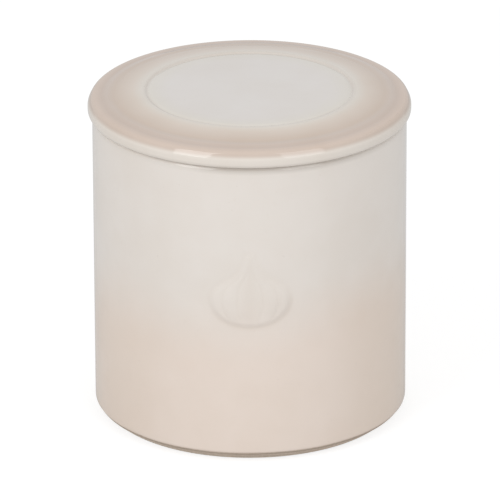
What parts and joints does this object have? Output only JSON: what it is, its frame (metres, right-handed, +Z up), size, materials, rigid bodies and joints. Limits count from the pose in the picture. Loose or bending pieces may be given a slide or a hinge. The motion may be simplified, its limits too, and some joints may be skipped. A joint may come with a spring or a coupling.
{
  "type": "garlic keeper",
  "caption": "Lidded stoneware garlic keeper: a straight-sided vented crock with a raised bulb on its front, under a loose domed lid that drops in on a locating ring.",
  "frame": {"origin": "centre of the crock's foot ring, on the surface it stands on", "axes": "+Z up along the crock's axis, -Y towards the front with the raised bulb, +Y towards the vent holes"},
  "size_m": [0.12, 0.12, 0.1255],
  "materials": {
    "crock_glaze": "gloss glaze, off-white running to beige at the foot, bare clay foot ring",
    "lid_glaze": "gloss glaze, off-white disc and rim with a beige ring between"
  },
  "bodies": {
    "crock_body": {"crock": "crock_glaze"},
    "lid_body": {"lid": "lid_glaze"}
  },
  "joints": [
    {"name": "lid_lift", "type": "slide", "parent": "crock_body", "child": "lid_body", "axis": [0, 0, 1], "range_m": [0, 0.11]}
  ]
}
